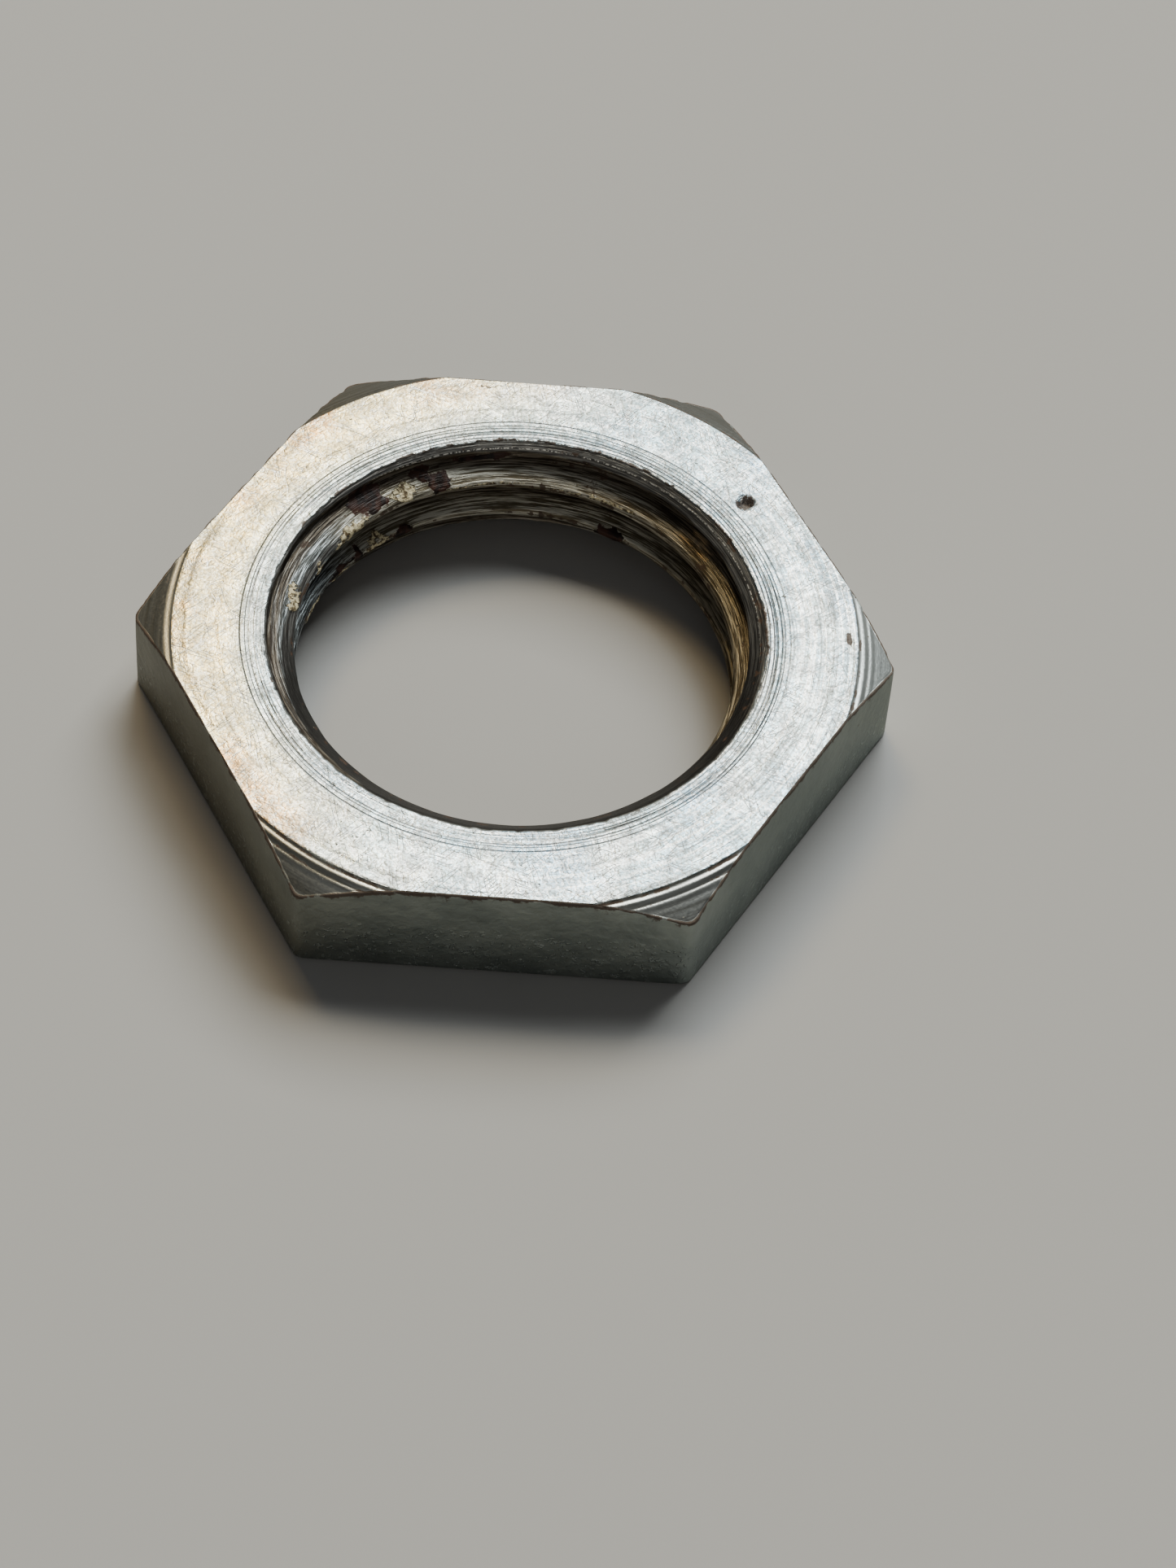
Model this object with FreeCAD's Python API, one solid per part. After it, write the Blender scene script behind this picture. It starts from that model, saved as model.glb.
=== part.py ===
import FreeCAD, Part
import math
import os

# Thin hexagon lock nut with an internal G 1/2 pipe thread, in millimetres.
# One piece of steel. The origin is the centre of the bearing face it stands on and +Z
# is the thread axis, towards the chamfered face. Two corners lie on the X axis and two
# flats face -Y and +Y.

across_flats = 28.0             # spanner size
thickness = 5.2                 # height over both faces
corner_radius = 0.6             # rounding of the six upright edges, left by the drawn bar

face_circle_over_flats = 0.9    # the turned face circle is this much wider than the flats
corner_chamfer_deg = 30.0       # slope of the corner chamfer, measured from the face

thread_major_dia = 20.955       # G 1/2: full diameter at the thread's root
thread_pitch = 1.814            # G 1/2: 14 threads to the inch
thread_taper_deg = 0.0          # a parallel thread
thread_flank_deg = 27.5         # half of the 55 degree thread angle
thread_depth_per_pitch = 0.640327       # depth of the thread form, as a share of the pitch
thread_round_per_pitch = 0.137329       # radius at its root, as a share of the pitch
thread_crest_angle_deg = 90.0   # direction in which the height of the crest is given
thread_crest_below_face = 1.58  # middle of the first crest there, below the chamfered face

countersink_over_thread = 0.145 # the countersinks open this much wider than the thread
countersink_flank_deg = 45.0    # slope of the countersinks, measured from the axis

tool_overrun = 0.15             # how far the thread cutter reaches into the open bore

face_circle_dia = across_flats + face_circle_over_flats
thread_depth = thread_depth_per_pitch * thread_pitch
thread_minor_dia = thread_major_dia - 2 * thread_depth
thread_root_radius = thread_round_per_pitch * thread_pitch
countersink_dia = thread_major_dia + countersink_over_thread
countersink_width = (countersink_dia - thread_minor_dia) / 2
countersink_depth = countersink_width / math.tan(math.radians(countersink_flank_deg))


def hexagon_bar():
    """The length of hexagon bar that the nut is cut from, with rounded upright edges."""
    corner_distance = across_flats / 2 / math.cos(math.radians(30))
    corners = []
    for index in range(7):
        turn = math.radians(60 * index)
        x = corner_distance * math.cos(turn)
        y = corner_distance * math.sin(turn)
        corners.append(FreeCAD.Vector(x, y, 0))
    prism = Part.Face(Part.makePolygon(corners)).extrude(FreeCAD.Vector(0, 0, thickness))
    upright = [edge for edge in prism.Edges if abs(edge.tangentAt(edge.FirstParameter).z) > 0.99]
    return prism.makeFillet(corner_radius, upright)


def corner_chamfer_envelope():
    """The cone that the corners are turned down to, full width below and the face circle on top."""
    top_radius = face_circle_dia / 2
    bottom_radius = top_radius + thickness / math.tan(math.radians(corner_chamfer_deg))
    return Part.makeCone(bottom_radius, top_radius, thickness)


def drilled_bore():
    """The hole at the thread's minor diameter, with a countersink at each face."""
    minor_radius = thread_minor_dia / 2
    mouth_radius = countersink_dia / 2
    bore = Part.makeCylinder(minor_radius, thickness)
    lower = Part.makeCone(mouth_radius, minor_radius, countersink_depth)
    upper = Part.makeCone(minor_radius, mouth_radius, countersink_depth)
    upper.translate(FreeCAD.Vector(0, 0, thickness - countersink_depth))
    return bore.fuse([lower, upper])


def thread_groove():
    """The right-hand helical groove that the tap cuts: 55 degree flanks and a rounded root."""
    flank = math.radians(thread_flank_deg)
    root_centre = thread_major_dia / 2 - thread_root_radius
    tangent_radius = root_centre + thread_root_radius * math.sin(flank)
    tangent_half = thread_root_radius * math.cos(flank)
    mouth_radius = thread_minor_dia / 2 - tool_overrun
    mouth_half = tangent_half + (tangent_radius - mouth_radius) * math.tan(flank)

    lower_mouth = FreeCAD.Vector(mouth_radius, 0, -mouth_half)
    lower_tangent = FreeCAD.Vector(tangent_radius, 0, -tangent_half)
    root = FreeCAD.Vector(thread_major_dia / 2, 0, 0)
    upper_tangent = FreeCAD.Vector(tangent_radius, 0, tangent_half)
    upper_mouth = FreeCAD.Vector(mouth_radius, 0, mouth_half)
    profile = Part.Wire([
        Part.LineSegment(lower_mouth, lower_tangent).toShape(),
        Part.Arc(lower_tangent, root, upper_tangent).toShape(),
        Part.LineSegment(upper_tangent, upper_mouth).toShape(),
        Part.LineSegment(upper_mouth, lower_mouth).toShape(),
    ])

    # The helix starts below the lower face and ends above the upper one. On the X axis the
    # groove's middle lies half a pitch from the crest, less the rise up to the stated angle.
    crest_height = thickness - thread_crest_below_face
    groove_height = crest_height + thread_pitch / 2 - thread_pitch * thread_crest_angle_deg / 360
    turns_below = math.ceil(groove_height / thread_pitch) + 1
    start_height = groove_height - turns_below * thread_pitch
    turns = math.ceil((thickness - start_height) / thread_pitch) + 1
    path = Part.makeLongHelix(thread_pitch, turns * thread_pitch, thread_minor_dia / 2, thread_taper_deg)
    groove = Part.Wire(path.Edges).makePipeShell([profile], True, True)
    groove.translate(FreeCAD.Vector(0, 0, start_height))
    return groove


def hex_nut():
    blank = hexagon_bar().common(corner_chamfer_envelope())
    bored = blank.cut(drilled_bore())
    return bored.cut(thread_groove())


nut = hex_nut()
print("solids", len(nut.Solids), "valid", nut.isValid(), "volume mm3", round(nut.Volume, 2))
print("minor diameter", round(thread_minor_dia, 4), "countersink depth", round(countersink_depth, 4))

os.makedirs("parts", exist_ok=True)
nut.Solids[0].exportStep("parts/hex_nut.step")
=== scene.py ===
import math

import bpy
import numpy as np
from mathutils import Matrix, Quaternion, Vector


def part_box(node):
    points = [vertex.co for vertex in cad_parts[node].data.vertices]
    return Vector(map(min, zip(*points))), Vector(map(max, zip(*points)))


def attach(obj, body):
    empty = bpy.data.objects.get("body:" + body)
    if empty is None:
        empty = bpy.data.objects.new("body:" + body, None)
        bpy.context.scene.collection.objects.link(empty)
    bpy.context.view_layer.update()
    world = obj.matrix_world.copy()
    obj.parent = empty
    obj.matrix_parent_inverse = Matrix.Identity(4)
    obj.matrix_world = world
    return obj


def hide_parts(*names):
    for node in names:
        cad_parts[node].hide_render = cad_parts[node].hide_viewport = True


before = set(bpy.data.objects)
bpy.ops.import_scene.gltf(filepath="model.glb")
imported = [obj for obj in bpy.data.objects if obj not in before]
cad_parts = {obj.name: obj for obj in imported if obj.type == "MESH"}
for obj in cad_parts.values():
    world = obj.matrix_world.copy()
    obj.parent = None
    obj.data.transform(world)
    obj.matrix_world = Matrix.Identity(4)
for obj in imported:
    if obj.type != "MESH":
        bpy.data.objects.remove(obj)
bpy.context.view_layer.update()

# ---------------------------------------------------------------------------------------
# The nut: a slice of drawn hexagon bar, faced and corner-chamfered on a lathe, then
# drilled, countersunk on both sides and tapped G 1/2. Steel, bright zinc plated. It has
# been in use: nicked round the bore, browned along its edges, old sealant in the thread.
# ---------------------------------------------------------------------------------------

MM = 0.001                              # this script's shapes are in millimetres

nut_low, nut_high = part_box("hex_nut")
across_flats = (nut_high.y - nut_low.y) / MM
thickness = (nut_high.z - nut_low.z) / MM
corner_radius = 0.6                     # upright edges, left by the drawn bar
face_circle = across_flats / 2 + 0.45   # radius of the turned face
chamfer_slope = math.tan(math.radians(30))
mouth_radius = 10.55                    # 45 degree countersinks at both faces
crest_radius = 9.316                    # thread crests
root_radius = 10.4775                   # thread root, G 1/2
pitch = 1.814
flank_slope = math.tan(math.radians(27.5))
crest_height = thickness - 1.58         # middle of the first crest, straight behind the axis
top_break = 0.09                        # rounding of the upper edges
base_break = 0.16                       # rounding of the lower ones

least_chamfer = 0.16                    # the face never comes closer than this to a flat's edge
rim_set_back = 0.03                     # the face starts this far outside the bore's rim,
rim_break_width = 0.07                  # and is rounded down to it over this width
lip_set_back = 0.035                    # the thin lip of the rim stands this far in
roll_off = 0.10                         # depth to which the face's edge is worn on the left,
roll_off_face = 0.9                     # over this width on the face
roll_off_chamfer = 0.45                 # and this width on the chamfer
sealant_thickness = 0.07
grease_thickness = 0.09

columns = 588                           # the mesh: columns around the nut, and its lines
face_lines = 42
chamfer_lines = 24
top_break_lines = 4
flat_lines = 9
base_break_lines = 3
base_lines = 5
bore_lines = 82
corner_crowding = 0.25                  # how much closer together the columns are at corners

# Steps that the lathe tool left on the chamfer: distance outside the face circle, half width
# and height, in millimetres.
chamfer_steps = (
    (0.10, 0.09, -0.050), (0.31, 0.08, 0.034), (0.46, 0.07, -0.032),
    (0.60, 0.08, 0.022), (0.76, 0.08, -0.016), (1.05, 0.08, -0.004),
)
# Pits in the face: direction in degrees, distance from the axis, half length along the ring,
# half width across it, and depth.
face_pits = (
    (40, 12.32, 0.36, 0.44, 0.34), (50, 11.9, 0.20, 0.09, 0.06),
    (178, 12.9, 0.22, 0.12, 0.07), (306, 11.8, 0.12, 0.10, 0.06),
    (228, 10.95, 0.30, 0.08, 0.06), (2, 14.1, 0.30, 0.16, 0.05),
    (93, 13.9, 0.50, 0.28, 0.09), (86, 13.8, 0.30, 0.15, 0.05),
)
# Tool rings in the face: distance from the axis, half width, depth, and the seed of its gaps.
face_rings = (
    (10.86, 0.06, 0.045, 16), (11.08, 0.05, 0.025, 17), (11.30, 0.07, 0.040, 18),
    (13.75, 0.07, 0.012, 19), (14.05, 0.07, 0.016, 20),
)
# Nicks in the flats: direction in degrees, height, half length, half height and depth.
flat_nicks = (
    (265.9, 4.25, 0.22, 0.16, 0.10), (237.0, 3.25, 0.12, 0.42, 0.06),
    (326.6, 2.4, 0.12, 0.12, 0.05), (335.7, 2.4, 0.10, 0.10, 0.05),
)
# Patches on the bore's wall: direction in degrees, height, half width in degrees, half height.
sealant_patches = (
    (143, 3.95, 8, 0.26), (123, 4.10, 4.5, 0.36), (157, 3.9, 5, 0.28), (170, 4.3, 5, 0.2),
    (128, 2.80, 12, 0.20), (150, 2.85, 9, 0.20), (166, 3.0, 6, 0.2), (133, 2.00, 4.5, 0.42),
    (147, 1.85, 6.0, 0.36), (163, 1.9, 8, 0.3), (104, 3.80, 16, 0.05), (72, 3.70, 16, 0.04),
)
grease_patches = (
    (113.5, 4.05, 3.2, 0.40), (118, 4.35, 4, 0.2), (133, 4.45, 6, 0.42), (52.5, 2.5, 3.0, 0.36),
    (66, 1.75, 5, 0.30), (124.5, 1.9, 3.5, 0.35), (139.5, 2.0, 2.0, 0.45), (147, 2.2, 7, 0.15),
    (100, 4.4, 9, 0.10),
)


def grain(x, y, z, cell, seed):
    """A smooth random field from -1 to 1: random numbers on a cubic lattice of the given cell,
    blended between the eight nearest lattice points with smooth cubic weights."""
    numbers = np.random.default_rng(seed).uniform(-1, 1, 4096)
    place = np.stack(np.broadcast_arrays(x, y, z)) / cell
    corner = np.floor(place).astype(np.int64)
    part = place - corner
    part = part * part * (3 - 2 * part)
    total = np.zeros(place.shape[1:])
    for i in (0, 1):
        for j in (0, 1):
            for k in (0, 1):
                weight = (np.where(i, part[0], 1 - part[0]) * np.where(j, part[1], 1 - part[1])
                          * np.where(k, part[2], 1 - part[2]))
                key = (corner[0] + i) * 73856093 ^ (corner[1] + j) * 19349663
                key = key ^ (corner[2] + k) * 83492791
                total += weight * numbers[key & 4095]
    return total


def rise(x, start, end):
    """0 before start, 1 past end, and a smooth cubic between them."""
    share = np.clip((x - start) / (end - start), 0, 1)
    return share * share * (3 - 2 * share)


def turn_from(angle, degrees):
    """The angle in radians from a direction given in degrees, between minus and plus half a turn."""
    return np.mod(angle - math.radians(degrees) + math.pi, 2 * math.pi) - math.pi


def spot(angle, across, degrees, at, half_length, half_width, ring):
    """1 in the middle of an oval spot, falling to 0 at its edge: one less the squared distance
    from it, counted in half lengths along a ring of the given radius and half widths across."""
    along = turn_from(angle, degrees) * ring / half_length
    return np.clip(1 - along ** 2 - ((across - at) / half_width) ** 2, 0, 1)


def hexagon_radius(angle, flat):
    """Distance from the axis to the rounded hexagon: flat / cosine of the angle from the middle
    of the flat, and by a corner the far crossing of the ray with the rounding circle."""
    from_corner = np.mod(angle + math.pi / 6, math.pi / 3) - math.pi / 6
    from_middle = np.mod(angle, math.pi / 3) - math.pi / 6
    centre = (flat - corner_radius) / math.cos(math.pi / 6)
    tangent = math.atan2(corner_radius / 2, centre + corner_radius * math.cos(math.pi / 6))
    under = np.maximum(corner_radius ** 2 - (centre * np.sin(from_corner)) ** 2, 0)
    rounded = centre * np.cos(from_corner) + np.sqrt(under)
    return np.where(np.abs(from_corner) < tangent, rounded, flat / np.cos(from_middle))


def thread_radius(angle, height):
    """Distance from the axis to the tapped wall: a crest a sixth of the pitch wide, then straight
    flanks out to the root, by the height from the nearest turn of the crest's helix."""
    helix = crest_height + pitch * (angle / (2 * math.pi) - 0.25)
    from_crest = np.abs(np.mod((height - helix) / pitch + 0.5, 1) - 0.5) * pitch
    wall = crest_radius + np.maximum(from_crest - pitch / 12, 0) / flank_slope
    return np.minimum(wall, root_radius)


def shares(count, power=1.0):
    """A column of values from 0 up to, but without, 1, crowded towards 0 by a power above 1."""
    return ((np.arange(count) / count) ** power)[:, None]


# Columns stand closer together at the six corners, where the outline bends.
column = np.arange(columns) / columns * 2 * math.pi
angle = (column - corner_crowding * np.sin(6 * column) / 6)[None, :]
cos, sin = np.cos(angle), np.sin(angle)
flat_radius = hexagon_radius(angle, across_flats / 2)

# The bore's rim is chipped: shallow long bites and fine short ones.
rim_x, rim_y = mouth_radius * cos, mouth_radius * sin
rim_chip = (0.04 * rise(grain(rim_x, rim_y, 0, 0.9, 11), 0.0, 0.9)
            + 0.07 * rise(grain(rim_x, rim_y, 0, 0.25, 12), 0.0, 0.9))

# The face's edge is worn smooth on one side, and the steps of the chamfer with it.
worn_side = (0.5 + 0.5 * np.cos(turn_from(angle, 176))) ** 6
near_side = 0.5 - 0.5 * np.cos(turn_from(angle, 90))
step_strength = (1 - 0.7 * worn_side) * (0.3 + 0.7 * near_side ** 2)


def turned_height(radius):
    """Height of the turned top: flat to the face circle and falling 30 degrees outside it, with
    the lathe tool's steps just outside the circle as a row of grooves and ridges."""
    past = np.maximum(radius - face_circle, 0)
    steps = 0.0
    for at, half_width, rises in chamfer_steps:
        steps = steps + rises * np.exp(-((past - at) / half_width) ** 2)
    steps = np.minimum(steps, past * chamfer_slope * 0.8) * step_strength
    return thickness - past * chamfer_slope + steps


# Top face, from the rim of the bore outwards.
chamfer_start = np.minimum(face_circle, flat_radius - top_break - least_chamfer)
rim_radius = mouth_radius + rim_chip + rim_set_back
face_r = rim_radius + (chamfer_start - rim_radius) * shares(face_lines, 1.15)
face_z = np.full_like(face_r, thickness)
face_z -= rim_set_back * (1 - rise(face_r - rim_radius, 0.0, rim_break_width))
for degrees, at, long, wide, deep in face_pits:
    pit = spot(angle, face_r, degrees, at, long, wide, at)
    ragged = pit + 0.25 * grain(face_r * cos, face_r * sin, 0, 0.16, 13) * (pit > 0)
    face_z -= deep * rise(ragged, 0.08, 0.55)
for at, wide, deep, seed in face_rings:
    fade = rise(grain(at * cos / 2.5, at * sin / 2.5, 0, 1.0, seed), -0.5, 0.3)
    face_z -= deep * fade * np.exp(-((face_r - at) / wide) ** 2)
face_z -= roll_off * worn_side * rise(face_r, chamfer_start - roll_off_face, chamfer_start) ** 2

# Corner chamfer, and the rounded edge between it and the flat.
chamfer_end = flat_radius - top_break
chamfer_r = chamfer_start + (chamfer_end - chamfer_start) * shares(chamfer_lines)
chamfer_z = turned_height(chamfer_r)
rolled = 1 - rise(chamfer_r, chamfer_start, chamfer_start + roll_off_chamfer)
chamfer_z -= roll_off * worn_side * rolled
quarter = shares(top_break_lines) * math.pi / 2
break_r = chamfer_end + top_break * np.sin(quarter)
break_z = turned_height(chamfer_end) - top_break * (1 - np.cos(quarter))
edge_dent = 0.07 * rise(grain(flat_radius * cos, flat_radius * sin, 0, 0.5, 14), 0.1, 0.9)
edge_dent += 0.025 * rise(grain(flat_radius * cos, flat_radius * sin, 0, 0.2, 15), 0.0, 0.9)
break_z -= edge_dent * np.cos(quarter)
break_r -= edge_dent * np.sin(quarter)

# Flat, lower edge and base face.
flat_top = turned_height(chamfer_end) - top_break
down = 0.5 - 0.5 * np.cos(shares(flat_lines) * math.pi)
flat_z = flat_top + (base_break - flat_top) * down
flat_r = flat_radius - edge_dent * (1 - down) ** 8
for degrees, at, long, wide, deep in flat_nicks:
    nick = spot(angle, flat_z, degrees, at, long, wide, across_flats / 2)
    flat_r = flat_r - deep * rise(nick, 0, 0.6)
quarter = shares(base_break_lines) * math.pi / 2
base_break_r = flat_radius - base_break * (1 - np.cos(quarter))
base_break_z = base_break * (1 - np.sin(quarter)) + 0 * angle
base_r = flat_radius - base_break + (mouth_radius - flat_radius + base_break) * shares(base_lines)
base_z = np.zeros_like(base_r)

# Bore, from the base up to the top face.
bore_z = thickness * shares(bore_lines) + 0 * angle
from_top = thickness - bore_z
lip = lip_set_back * rise(from_top, 0.19, 0.11) + rim_chip * np.exp(-from_top / 0.2)
countersink = np.maximum(mouth_radius - bore_z, mouth_radius - lip_set_back - from_top + lip)
bore_r = np.maximum(thread_radius(angle, bore_z), countersink)

radius = np.concatenate([face_r, chamfer_r, break_r, flat_r, base_break_r, base_r, bore_r])
height = np.concatenate([face_z, chamfer_z, break_z, flat_z, base_break_z, base_z, bore_z])
x, y = radius * cos, radius * sin
line_counts = (face_lines, chamfer_lines, top_break_lines, flat_lines, base_break_lines,
               base_lines, bore_lines)
line_names = ("face", "chamfer", "top break", "flat", "base break", "base", "bore")
zone = np.repeat(np.arange(len(line_counts)), line_counts)[:, None]
on = {name: (zone == number) + 0 * angle for number, name in enumerate(line_names)}

# Where the old sealant, the grease and the rust sit, as shares from 0 to 1 over the surface.
coarse = grain(x, y, height * 1.6, 0.9, 21)
medium = grain(x, y, height * 1.5, 0.40, 22)
fine = grain(x, y, height, 0.18, 23)
speck = 0.5 * coarse + 0.35 * medium + 0.25 * fine
streak = (0.6 * grain(x / 3, y / 3, height * 2.2, 0.5, 24)
          + 0.4 * grain(x / 2, y / 2, height * 2.5, 0.22, 25)
          + 0.3 * fine)


def blot(degrees, at, half_degrees, half_height):
    """A ragged patch on the bore's wall, about 1 inside and below 0 well outside: an oval in
    angle and height with its edge broken up by the grain."""
    across = turn_from(angle, degrees) / math.radians(half_degrees)
    up = (height - at) / half_height
    return 1 - across ** 2 - up ** 2 + 0.8 * streak + 0.6 * speck


sealant = np.full_like(x, -1.0)
for patch in sealant_patches:
    sealant = np.maximum(sealant, blot(*patch))
grease = np.full_like(x, -1.0)
for patch in grease_patches:
    grease = np.maximum(grease, blot(*patch))
in_bore = on["bore"].astype(float)
amber_highlight = rise(blot(41, 3.85, 8, 0.20), 0.1, 1.0) * in_bore
above_crest = np.mod((height - crest_height) / pitch - (angle / (2 * math.pi) - 0.25) + 0.5, 1) - 0.5
teeth = (grain(x, y, 0, 0.22, 26) + 0.8 * grain(x, y, 0, 0.7, 27)
         - np.abs(above_crest * pitch - 0.02) / 0.16)
flaked = grain(x, y, height * 1.3, 0.30, 30) + 0.6 * grain(x, y, height * 1.3, 0.13, 31)
sealant = rise(sealant, -0.1, 0.7) * in_bore * rise(flaked, -0.85, -0.25)
grease = rise(grease, -0.1, 0.7) * in_bore
far_side = 0.5 + 0.5 * np.cos(turn_from(angle, 70))
rust = rise(0.5 * far_side + 0.9 * streak, 0.45, 1.1) * in_bore * 0.6
rust = np.maximum(rust, rise(teeth, 0.0, 0.4) * in_bore)
in_root = rise(radius, 9.85, 10.15) * in_bore
mouth = rise(radius - thread_radius(angle, height), 0.0, 0.03) * in_bore
in_root = in_root * (1 - mouth)
near_rim = np.exp(-np.abs(radius - rim_radius) / 0.08) * on["face"]
rust = np.maximum(rust, near_rim * rise(0.5 * far_side + 0.9 * speck, 0.15, 0.7))
rust = np.maximum(rust, on["top break"] * rise(0.8 + speck, 0.1, 0.6))
flat_edge = np.exp(-np.abs(height - flat_top) / 0.15) * on["flat"]
rust = np.maximum(rust, flat_edge * rise(0.6 + speck, 0.2, 0.7))
first_groove = np.exp(-((radius - face_circle - 0.10) / 0.07) ** 2) * on["chamfer"]
rust = np.maximum(rust, first_groove * rise(0.5 + speck, 0.1, 0.6) * (1 - worn_side))
second_groove = np.exp(-((radius - face_circle - 0.47) / 0.06) ** 2) * on["chamfer"]
rust = np.maximum(rust, second_groove * rise(0.4 + speck, 0.1, 0.6) * near_side)
pitted = spot(angle, radius, 40, 12.32, 0.42, 0.50, 12.32) * on["face"]
rust = np.maximum(rust, rise(pitted, 0.1, 0.4))
stained = spot(angle, radius, 96, 13.75, 2.2, 0.3, 13.75) * on["face"]
rust = np.maximum(rust, rise(stained * (0.7 + 1.2 * speck), 0.3, 0.9) * 0.7)
corner_spot = spot(angle, radius, 3, 14.1, 0.5, 0.22, 14.1)
rust = np.maximum(rust, rise(corner_spot + 0.6 * speck, 0.4, 0.8) * on["face"])
lump = sealant_thickness * sealant * (1 + 0.6 * fine) + grease_thickness * grease
radius = radius - lump * np.minimum(np.minimum(height, thickness - height) / 0.4, 1) * in_bore
points = np.stack([radius * cos, radius * sin, height], axis=-1)


def ring_mesh(name, points):
    """A closed ring from a grid of points that wraps round both ways: each point is joined to the
    next one along its line and to the same one on the next line."""
    rows, around = points.shape[:2]
    number = np.arange(rows * around).reshape(rows, around)
    below = np.roll(number, -1, axis=0)
    quads = np.stack([number, below, np.roll(below, -1, axis=1), np.roll(number, -1, axis=1)], axis=-1)
    mesh = bpy.data.meshes.new(name)
    mesh.vertices.add(rows * around)
    mesh.vertices.foreach_set("co", (points * MM).astype(np.float32).ravel())
    mesh.loops.add(quads.size)
    mesh.loops.foreach_set("vertex_index", quads.astype(np.int32).ravel())
    mesh.polygons.add(rows * around)
    mesh.polygons.foreach_set("loop_start", np.arange(0, quads.size, 4, dtype=np.int32))
    mesh.update(calc_edges=True)
    mesh.shade_smooth()
    return mesh


nut_mesh = ring_mesh("lock_nut", points)
nut = bpy.data.objects.new("lock_nut", nut_mesh)
bpy.context.scene.collection.objects.link(nut)


def paint(mesh, name, values):
    """Stores one value for each point of the mesh under a name that the finish reads."""
    stored = mesh.attributes.new(name, "FLOAT", "POINT").data
    stored.foreach_set("value", values.astype(np.float32).ravel())


paint(nut_mesh, "sealant", sealant)
paint(nut_mesh, "grease", grease)
paint(nut_mesh, "rust", rust)
paint(nut_mesh, "darkened roots", in_root)
paint(nut_mesh, "countersunk", mouth)
paint(nut_mesh, "turned", on["face"] + on["chamfer"] + on["base"] + on["top break"] * 0.5)
paint(nut_mesh, "tapped", in_bore)
inside_circle = 1 - rise(radius, face_circle, face_circle + 0.05)
paint(nut_mesh, "face", (on["face"] + on["chamfer"]) * inside_circle)
paint(nut_mesh, "amber_highlight", amber_highlight)

plated = bpy.data.materials.new("bright_zinc")
plated.use_nodes = True
tree = plated.node_tree


def put(kind, inputs, **settings):
    """Adds a node to the finish; each input takes either a value or another node's output."""
    node = tree.nodes.new(kind)
    for name, value in settings.items():
        setattr(node, name, value)
    for name, value in inputs.items():
        if isinstance(value, bpy.types.NodeSocket):
            tree.links.new(value, node.inputs[name])
        else:
            node.inputs[name].default_value = value
    return node.outputs


def calc(operation, first, second=0.0, third=0.0):
    """One step of arithmetic on single values."""
    return put("ShaderNodeMath", {0: first, 1: second, 2: third}, operation=operation)[0]


def times(first, second):
    """The product of two values."""
    return calc("MULTIPLY", first, second)


def plus(first, second):
    """The sum of two values."""
    return calc("ADD", first, second)


def span(value, low, high, to_low=0.0, to_high=1.0):
    """Carries a value from one range to another along a smooth step."""
    return put("ShaderNodeMapRange", {0: value, 1: low, 2: high, 3: to_low, 4: to_high},
               interpolation_type="SMOOTHSTEP")[0]


def speckle(where, per_mm, detail=2.0, rough=0.5):
    """Random cloudiness from 0 to 1 with so many grains to the millimetre."""
    return put("ShaderNodeTexNoise", {"Vector": where, "Scale": per_mm, "Detail": detail,
                                      "Roughness": rough})["Fac"]


def tint(share, first, second):
    """A colour between two, by a share."""
    return put("ShaderNodeMix", {0: share, 6: first, 7: second}, data_type="RGBA")[2]


def stretch(where, factors):
    """Makes a pattern coarser along an axis by a factor below 1."""
    return put("ShaderNodeVectorMath", {0: where, 1: factors}, operation="MULTIPLY")[0]


def painted(name):
    """The values stored in the mesh under a name."""
    return put("ShaderNodeAttribute", {}, attribute_name=name)["Fac"]


def tool_rings(distance):
    """The deepest tool rings beside the bore: a ramp over the radius from 10.6 to 11.8 mm that dips
    at each ring."""
    ramp = tree.nodes.new("ShaderNodeValToRGB")
    share = put("ShaderNodeMapRange", {0: distance, 1: 10.6, 2: 11.8})[0]
    tree.links.new(share, ramp.inputs[0])
    ring_stops = ((0.12, 0.03), (0.27, 0.03), (0.38, 0.05), (0.55, 0.03), (0.66, 0.02), (0.84, 0.03))
    stops = ramp.color_ramp.elements
    stops[0].color = stops[1].color = (1, 1, 1, 1)
    for at, wide in ring_stops:
        stops.new(at - wide).color = (1, 1, 1, 1)
        stops.new(at).color = (0, 0, 0, 1)
        stops.new(at + wide).color = (1, 1, 1, 1)
    return ramp.outputs[0]


metres = put("ShaderNodeTexCoord", {})["Object"]
place = put("ShaderNodeVectorMath", {0: metres, "Scale": 1000.0}, operation="SCALE")[0]
part = put("ShaderNodeSeparateXYZ", {0: place})
level_place = put("ShaderNodeCombineXYZ", {0: part[0], 1: part[1]})[0]
from_axis = put("ShaderNodeVectorMath", {0: level_place}, operation="LENGTH")["Value"]
outward = put("ShaderNodeVectorMath", {0: level_place}, operation="NORMALIZE")[0]
out_part = put("ShaderNodeSeparateXYZ", {0: outward})


def along_turn(across, share):
    """Coordinates for marks that run round the nut: the given value across them, and the outward
    direction times a share, which is small for long marks."""
    return put("ShaderNodeCombineXYZ", {0: across, 1: times(out_part[0], share),
                                        2: times(out_part[1], share)})[0]


turned = painted("turned")
tapped = painted("tapped")
on_face = painted("face")
drawn = calc("SUBTRACT", 1.0, plus(turned, tapped))

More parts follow.
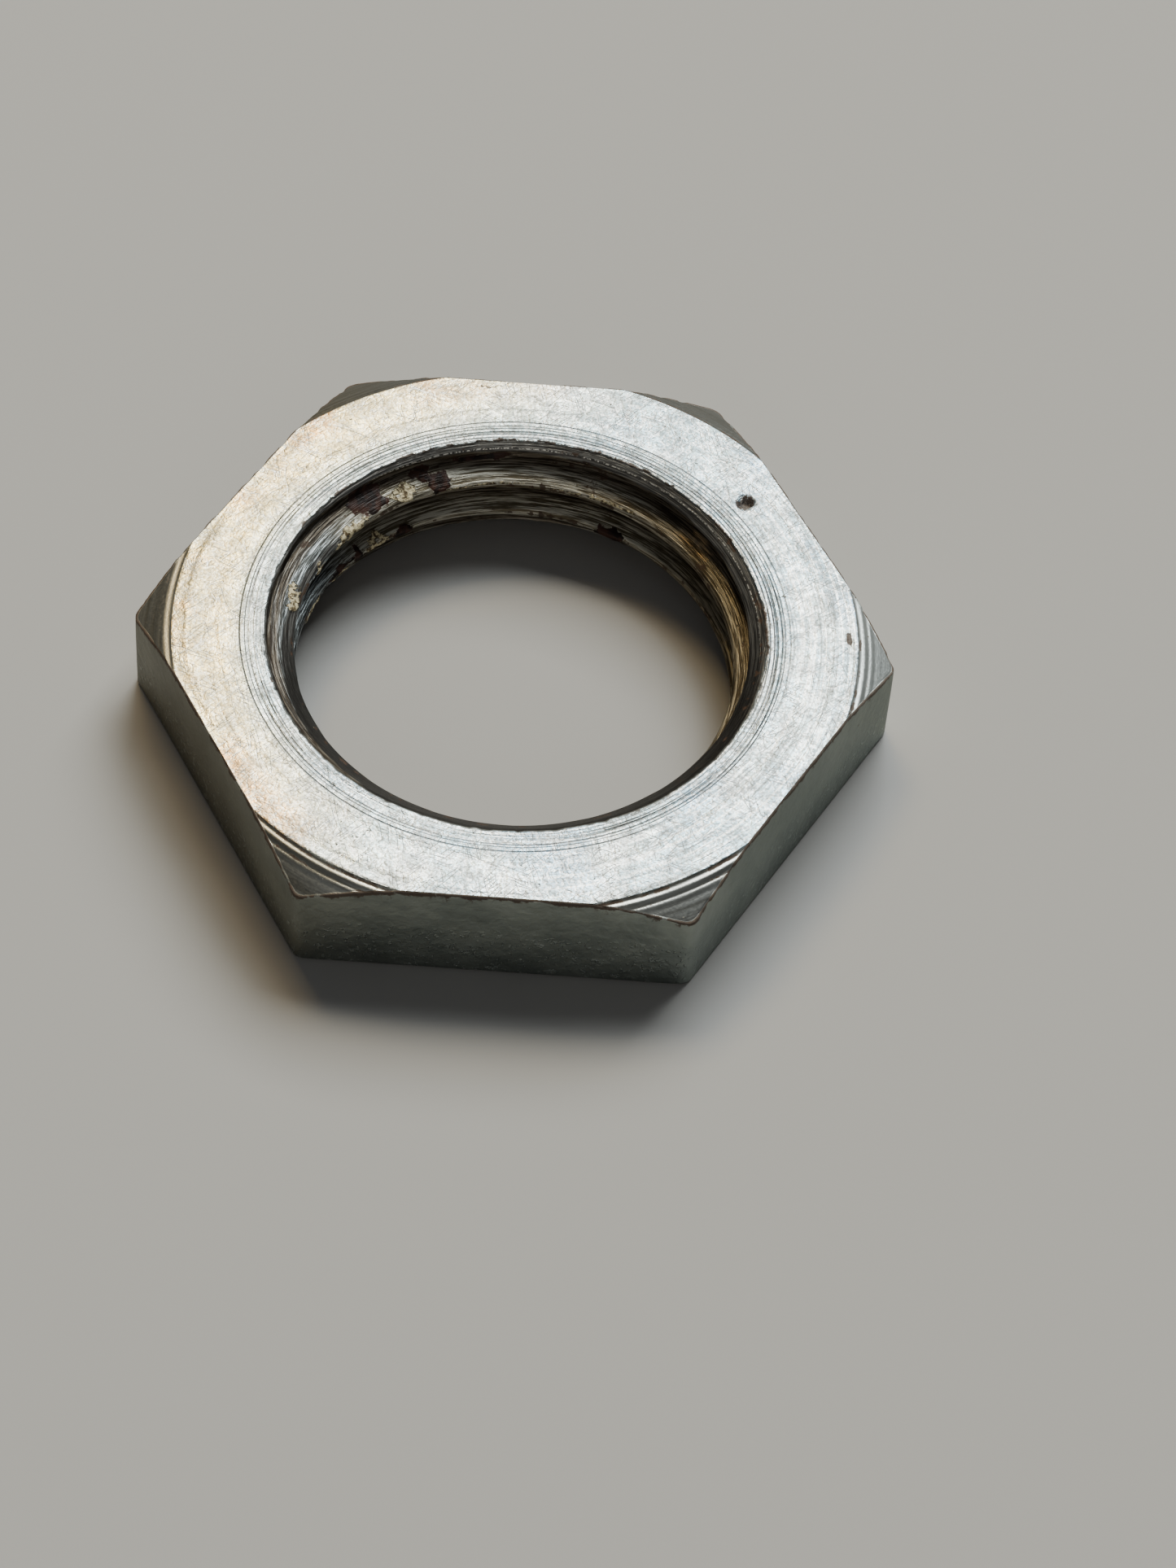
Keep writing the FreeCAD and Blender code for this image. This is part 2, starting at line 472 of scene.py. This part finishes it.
# Tool marks: rings on the turned faces, fine turns round the bore's wall.
ring_place = along_turn(from_axis, 0.6)
turn_place = along_turn(part[2], 0.35)
rings = plus(speckle(ring_place, 9.0, 3.0, 0.7), times(speckle(ring_place, 2.6, 1.0), 0.8))
turns = put("ShaderNodeTexNoise", {"Vector": turn_place, "W": from_axis, "Scale": 12.0, "Detail": 3.0,
                                   "Roughness": 0.7}, noise_dimensions="4D")["Fac"]

# Scratches of use: where a long-drawn grain crosses its middle value.
scratches = 0.0
for turn_deg, per_mm, long in ((20, 2.2, 0.10), (75, 2.8, 0.14), (-50, 2.5, 0.12), (140, 3.4, 0.2)):
    lying = put("ShaderNodeVectorRotate", {"Vector": place, "Angle": math.radians(turn_deg)},
                rotation_type="Z_AXIS")[0]
    line = calc("ABSOLUTE", calc("SUBTRACT", speckle(stretch(lying, (long, 1.0, 1.0)), per_mm, 1.0), 0.5))
    cut = times(span(line, 0.0, 0.022, 1.0, 0.0), span(speckle(lying, 0.8, 1.0), 0.5, 0.62))
    scratches = plus(scratches, cut)
worms = calc("ABSOLUTE", calc("SUBTRACT", speckle(place, 3.0, 2.0, 0.6), 0.5))
peel = speckle(place, 2.4, 2.0, 0.45)
clouds = speckle(place, 0.35, 3.0, 0.55)
dust = speckle(place, 9.0, 2.0, 0.6)

near_bore = span(from_axis, 11.3, 12.3, 1.2, 0.5)
near_edge = times(span(from_axis, 11.8, 13.0), on_face)
near_edge = times(near_edge, span(out_part[0], 0.1, 0.6, 0.0, 0.8))
ring_depth = times(plus(near_bore, near_edge), 0.026)
ring_depth = times(ring_depth, span(on_face, 0.0, 1.0, 0.35, 1.0))
height_mm = plus(times(turned, times(rings, ring_depth)), times(on_face, times(scratches, -0.010)))
ring_break = span(speckle(ring_place, 1.1, 1.0), 0.35, 0.6, 0.15, 1.0)
height_mm = plus(height_mm, times(times(on_face, ring_break), times(tool_rings(from_axis), 0.045)))
height_mm = plus(height_mm, times(on_face, times(worms, 0.085)))
height_mm = plus(height_mm, times(tapped, times(turns, 0.035)))
peel_depth = times(drawn, span(part[2], 0.6, 3.4, 0.07, 0.04))
height_mm = plus(height_mm, times(peel, peel_depth))
low_on_flat = times(drawn, span(part[2], 1.4, 3.2, 1.0, 0.0))
beads_and_glints = times(span(speckle(place, 4.6, 1.0), 0.60, 0.70), low_on_flat)
height_mm = plus(height_mm, times(beads_and_glints, 0.07))
height_mm = plus(height_mm, times(dust, 0.006))
ragged = plus(calc("SUBTRACT", dust, 0.5), times(calc("SUBTRACT", peel, 0.5), 1.3))
sealant_share = span(plus(painted("sealant"), ragged), 0.40, 0.60)
grease_share = span(plus(painted("grease"), times(ragged, 0.7)), 0.40, 0.60)
rust_share = span(plus(painted("rust"), ragged), 0.40, 0.75)
height_mm = plus(height_mm, times(sealant_share, times(speckle(place, 5.0, 3.0, 0.6), 0.10)))

# Colour of the face: blue-white zinc, with a painted reflection of the warm lamp, yellow and peach,
# on the left, and painted shade on the far right. These and the tints below go by place on the nut;
# the painted ones stand in for what it mirrors.
leftness = span(plus(times(part[0], -0.045), times(part[1], 0.012)), -0.1, 0.55)
leftness = times(leftness, span(from_axis, 10.7, 12.6, 0.25, 1.0))
mottle = speckle(place, 1.1, 3.0, 0.6)
# peach patches near the outer edge on the left: a painted reflection of the warm lamp
peach_reflection = times(leftness, span(speckle(place, 0.3, 3.0), 0.38, 0.60))
peach_reflection = times(peach_reflection, span(from_axis, 12.4, 14.0))
zinc = tint(span(clouds, 0.35, 0.7), (0.62, 0.80, 0.90, 1), (0.82, 0.87, 0.85, 1))
# bluish grey on the far right of the face: painted shade
far_right = span(plus(times(part[0], 0.03), times(part[1], 0.05)), 0.0, 0.8)
zinc = tint(times(far_right, 0.7), zinc, (0.42, 0.53, 0.58, 1))
blue_bloom = times(span(speckle(place, 0.22, 2.0), 0.45, 0.7), calc("SUBTRACT", 1.0, leftness))
zinc = tint(times(blue_bloom, 0.8), zinc, (0.40, 0.56, 0.72, 1))
# yellow on the left: a painted reflection of the warm lamp
zinc = tint(times(leftness, 0.9), zinc, (0.98, 0.80, 0.44, 1))
zinc = tint(times(peach_reflection, 0.9), zinc, (1.0, 0.60, 0.28, 1))
zinc = tint(times(span(mottle, 0.42, 0.62), 0.22), zinc, (0.40, 0.42, 0.42, 1))
# near-white painted glints along the worm lines, warmer on the left
painted_glint = tint(leftness, (0.96, 0.98, 1.0, 1), (1.0, 0.95, 0.80, 1))
zinc = tint(span(worms, 0.0, 0.06, 0.9, 0.0), zinc, painted_glint)
zinc = tint(span(dust, 0.40, 0.7, 0.0, 0.32), zinc, (0.28, 0.29, 0.29, 1))
# tool lines painted as dark and white streaks, strongest at the lower right and beside the bore: painted
# shade and painted highlight along the real turning
long_lines = speckle(along_turn(from_axis, 0.22), 7.0, 4.0, 0.7)
lined = times(span(out_part[0], -0.2, 0.5, 0.12, 1.0), span(out_part[1], 0.9, 0.2, 0.35, 1.0))
lined = calc("MAXIMUM", lined, span(from_axis, 10.9, 11.9, 0.8, 0.0))
zinc = tint(times(lined, span(long_lines, 0.52, 0.62, 0.0, 0.75)), zinc, (0.30, 0.33, 0.34, 1))
zinc = tint(times(lined, span(long_lines, 0.46, 0.40, 0.0, 0.9)), zinc, (0.98, 1.0, 1.0, 1))
flecks = times(span(speckle(place, 4.5, 1.5), 0.50, 0.64), span(leftness, 0.0, 1.0, 0.42, 0.16))
zinc = tint(flecks, zinc, (0.26, 0.265, 0.26, 1))
# darker rings round the face, strongest beside the bore
dark_rings = span(speckle(ring_place, 7.0, 2.0, 0.6), 0.52, 0.68)
dark_rings = times(dark_rings, span(from_axis, 10.9, 12.0, 0.75, 0.12))
zinc = tint(dark_rings, zinc, (0.27, 0.27, 0.25, 1))
# scratches painted lighter: a painted glint along them
zinc = tint(times(scratches, 0.5), zinc, (0.86, 0.87, 0.87, 1))

# Colour of the flats: dull green-grey, browner on the left, and darker on the right as painted shade.
flat_zinc = tint(span(clouds, 0.3, 0.7), (0.31, 0.34, 0.32, 1), (0.41, 0.44, 0.41, 1))
flat_zinc = tint(times(leftness, 0.7), flat_zinc, (0.21, 0.19, 0.15, 1))
flat_zinc = tint(span(out_part[0], 0.4, 0.8, 0.0, 0.5), flat_zinc, (0.26, 0.29, 0.27, 1))
# light specks low on the flats: painted glints on the orange-peel bumps
flat_zinc = tint(times(beads_and_glints, 0.22), flat_zinc, (0.72, 0.76, 0.72, 1))

# Colour of the bore: olive and brown, with blue lines on its left wall and dark roots.
turn_lines = span(turns, 0.42, 0.60)
bore_zinc = tint(turn_lines, (0.17, 0.145, 0.10, 1), (0.70, 0.68, 0.60, 1))
blue_wall = span(out_part[0], -0.92, -0.68, 0.9, 0.0)
thin_turns = put("ShaderNodeTexNoise", {"Vector": turn_place, "W": from_axis, "Scale": 24.0, "Detail": 3.0,
                                        "Roughness": 0.7}, noise_dimensions="4D")["Fac"]
thin_lines = span(thin_turns, 0.48, 0.60)
blue_lines = tint(thin_lines, (0.06, 0.066, 0.068, 1), (0.56, 0.61, 0.64, 1))
bore_zinc = tint(blue_wall, bore_zinc, blue_lines)
brown_wall = span(out_part[0], 0.35, 0.85, 0.0, 0.75)
brown_lines = tint(turn_lines, (0.085, 0.065, 0.04, 1), (0.34, 0.28, 0.18, 1))
bore_zinc = tint(brown_wall, bore_zinc, brown_lines)
# darker in the thread roots
root_zinc = tint(turn_lines, (0.045, 0.032, 0.022, 1), (0.20, 0.16, 0.115, 1))
bore_zinc = tint(times(painted("darkened roots"), 0.8), bore_zinc, root_zinc)
mouth_zinc = tint(turn_lines, (0.11, 0.105, 0.10, 1), (0.30, 0.295, 0.28, 1))
# the countersink darker on the near side: painted shade
mouth_zinc = tint(span(out_part[1], 0.3, -0.4, 0.0, 0.85), mouth_zinc, (0.03, 0.027, 0.024, 1))
bore_zinc = tint(painted("countersunk"), bore_zinc, mouth_zinc)
# warm orange lines on the right wall of the bore: a painted highlight
bore_zinc = tint(times(painted("amber_highlight"), turn_lines), bore_zinc, (0.95, 0.66, 0.36, 1))
# a bright dashed line just below the lip on the far side: a painted highlight
lip_highlight = span(calc("ABSOLUTE", calc("SUBTRACT", part[2], thickness - 0.22)), 0.0, 0.035, 1.0, 0.0)
lip_highlight = times(times(lip_highlight, span(dust, 0.46, 0.56)), span(out_part[1], -0.1, 0.3))
bore_zinc = tint(lip_highlight, bore_zinc, (0.95, 0.93, 0.86, 1))

# Colour of the corner chamfer: darker at the far side as painted shade, lighter on the right as a painted
# reflection, and browner on the left.
cone_zinc = tint(span(rings, 0.6, 1.1), (0.37, 0.365, 0.33, 1), (0.62, 0.63, 0.60, 1))
cone_zinc = tint(span(out_part[0], 0.5, 0.95, 0.0, 0.8), cone_zinc, (0.66, 0.69, 0.67, 1))
cone_zinc = tint(span(part[1], 3.0, 11.0, 0.0, 0.75), cone_zinc, (0.13, 0.125, 0.11, 1))
cone_zinc = tint(times(span(out_part[0], -0.3, -0.7), 0.45), cone_zinc, (0.26, 0.225, 0.15, 1))

# All zones together, then rust, grease and sealant over them.
colour = tint(on_face, cone_zinc, zinc)
colour = tint(drawn, colour, flat_zinc)
colour = tint(tapped, colour, bore_zinc)
rust_brown = tint(dust, (0.04, 0.025, 0.018, 1), (0.15, 0.09, 0.055, 1))
colour = tint(times(rust_share, 0.85), colour, rust_brown)
grease_brown = tint(span(peel, 0.4, 0.6), (0.020, 0.009, 0.006, 1), (0.085, 0.038, 0.026, 1))
colour = tint(grease_share, colour, grease_brown)
crumbs = span(speckle(place, 5.5, 3.0, 0.65), 0.38, 0.56)
cream = tint(crumbs, (0.14, 0.10, 0.05, 1), (0.80, 0.72, 0.50, 1))
colour = tint(sealant_share, colour, cream)

shine_off = calc("MAXIMUM", calc("MAXIMUM", times(rust_share, 0.8), sealant_share), grease_share)
shine_off = calc("MAXIMUM", shine_off, times(tapped, 0.3))
roughness = plus(0.30, times(dust, 0.20))
roughness = plus(roughness, times(drawn, 0.15))
roughness = plus(roughness, times(on_face, 0.11))
roughness = plus(roughness, times(on_face, span(mottle, 0.35, 0.65, -0.04, 0.08)))
roughness = put("ShaderNodeMix", {0: shine_off, 2: roughness, 3: 0.62})[0]
roughness = put("ShaderNodeMix", {0: grease_share, 2: roughness, 3: 0.38})[0]

shader = tree.nodes["Principled BSDF"]
tree.links.new(colour, shader.inputs["Base Color"])
tree.links.new(calc("SUBTRACT", 1.0, shine_off), shader.inputs["Metallic"])
tree.links.new(roughness, shader.inputs["Roughness"])
tree.links.new(put("ShaderNodeBump", {"Height": height_mm, "Distance": MM})[0], shader.inputs["Normal"])
nut_mesh.materials.append(plated)

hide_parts("hex_nut")
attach(nut, "root")

# ---------------------------------------------------------------------------------------
# The table: a plain pale matt sheet that the nut lies on.
# ---------------------------------------------------------------------------------------

table_half = 0.6
table_mesh = bpy.data.meshes.new("table")
table_mesh.from_pydata([(-table_half, -table_half, 0), (table_half, -table_half, 0),
                        (table_half, table_half, 0), (-table_half, table_half, 0)], [], [(0, 1, 2, 3)])
table = bpy.data.objects.new("table", table_mesh)
bpy.context.scene.collection.objects.link(table)
paper = bpy.data.materials.new("pale_paper")
paper.use_nodes = True
paper_shader = paper.node_tree.nodes["Principled BSDF"]
paper_shader.inputs["Base Color"].default_value = (0.47, 0.46, 0.447, 1)
paper_shader.inputs["Roughness"].default_value = 0.9
paper_shader.inputs["Specular IOR Level"].default_value = 0.2
table_mesh.materials.append(paper)

# ---------------------------------------------------------------------------------------
# Light: a wide soft window behind the nut and a little to the right, a weak warm lamp behind
# it to the left, a very weak light in front as from a wall, and a dim bluish room around.
# ---------------------------------------------------------------------------------------


def soft_light(name, azimuth_deg, elevation_deg, distance, size, watts, colour):
    """A square area light seen from the nut in a direction (azimuth from straight behind, to the
    right) at a distance, facing the nut."""
    lamp = bpy.data.lights.new(name, "AREA")
    lamp.shape = "SQUARE"
    lamp.size = size
    lamp.energy = watts
    lamp.color = colour
    azimuth, elevation = math.radians(azimuth_deg), math.radians(elevation_deg)
    place = Vector((math.sin(azimuth) * math.cos(elevation), math.cos(azimuth) * math.cos(elevation),
                    math.sin(elevation))) * distance
    holder = bpy.data.objects.new(name, lamp)
    holder.location = place
    holder.rotation_mode = "QUATERNION"
    holder.rotation_quaternion = (-place).to_track_quat("-Z", "Y")
    bpy.context.scene.collection.objects.link(holder)


soft_light("window", 19, 50, 1.60, 0.914, 25.0, (0.93, 0.98, 0.98))
soft_light("lamp", -22, 54, 1.20, 0.30, 3.4, (1.0, 0.78, 0.44))
soft_light("wall", 180, 28, 0.80, 0.40, 0.45, (1.0, 0.95, 0.88))

world = bpy.data.worlds.new("room")
world.use_nodes = True
world.node_tree.nodes["Background"].inputs["Color"].default_value = (0.85, 0.90, 0.95, 1)
world.node_tree.nodes["Background"].inputs["Strength"].default_value = 0.10
bpy.context.scene.world = world

# ---------------------------------------------------------------------------------------
# Camera: a long lens 20 cm away, looking down at about 50 degrees, held slightly tilted.
# ---------------------------------------------------------------------------------------

camera_place = Vector((1.727, -125.171, 159.434)) * MM
camera_aim = Vector((3.439, -7.887, 5.2)) * MM
camera_tilt_deg = 4.655
camera = bpy.data.objects.new("camera", bpy.data.cameras.new("camera"))
camera.data.lens = 108.31
camera.data.sensor_width = 36
camera.data.clip_start = 0.01
camera.location = camera_place
camera.rotation_mode = "QUATERNION"
level = (camera_aim - camera_place).to_track_quat("-Z", "Y")
camera.rotation_quaternion = level @ Quaternion((0, 0, 1), math.radians(camera_tilt_deg))
bpy.context.scene.collection.objects.link(camera)
bpy.context.scene.camera = camera
bpy.context.scene.view_settings.look = "AgX - Medium High Contrast"
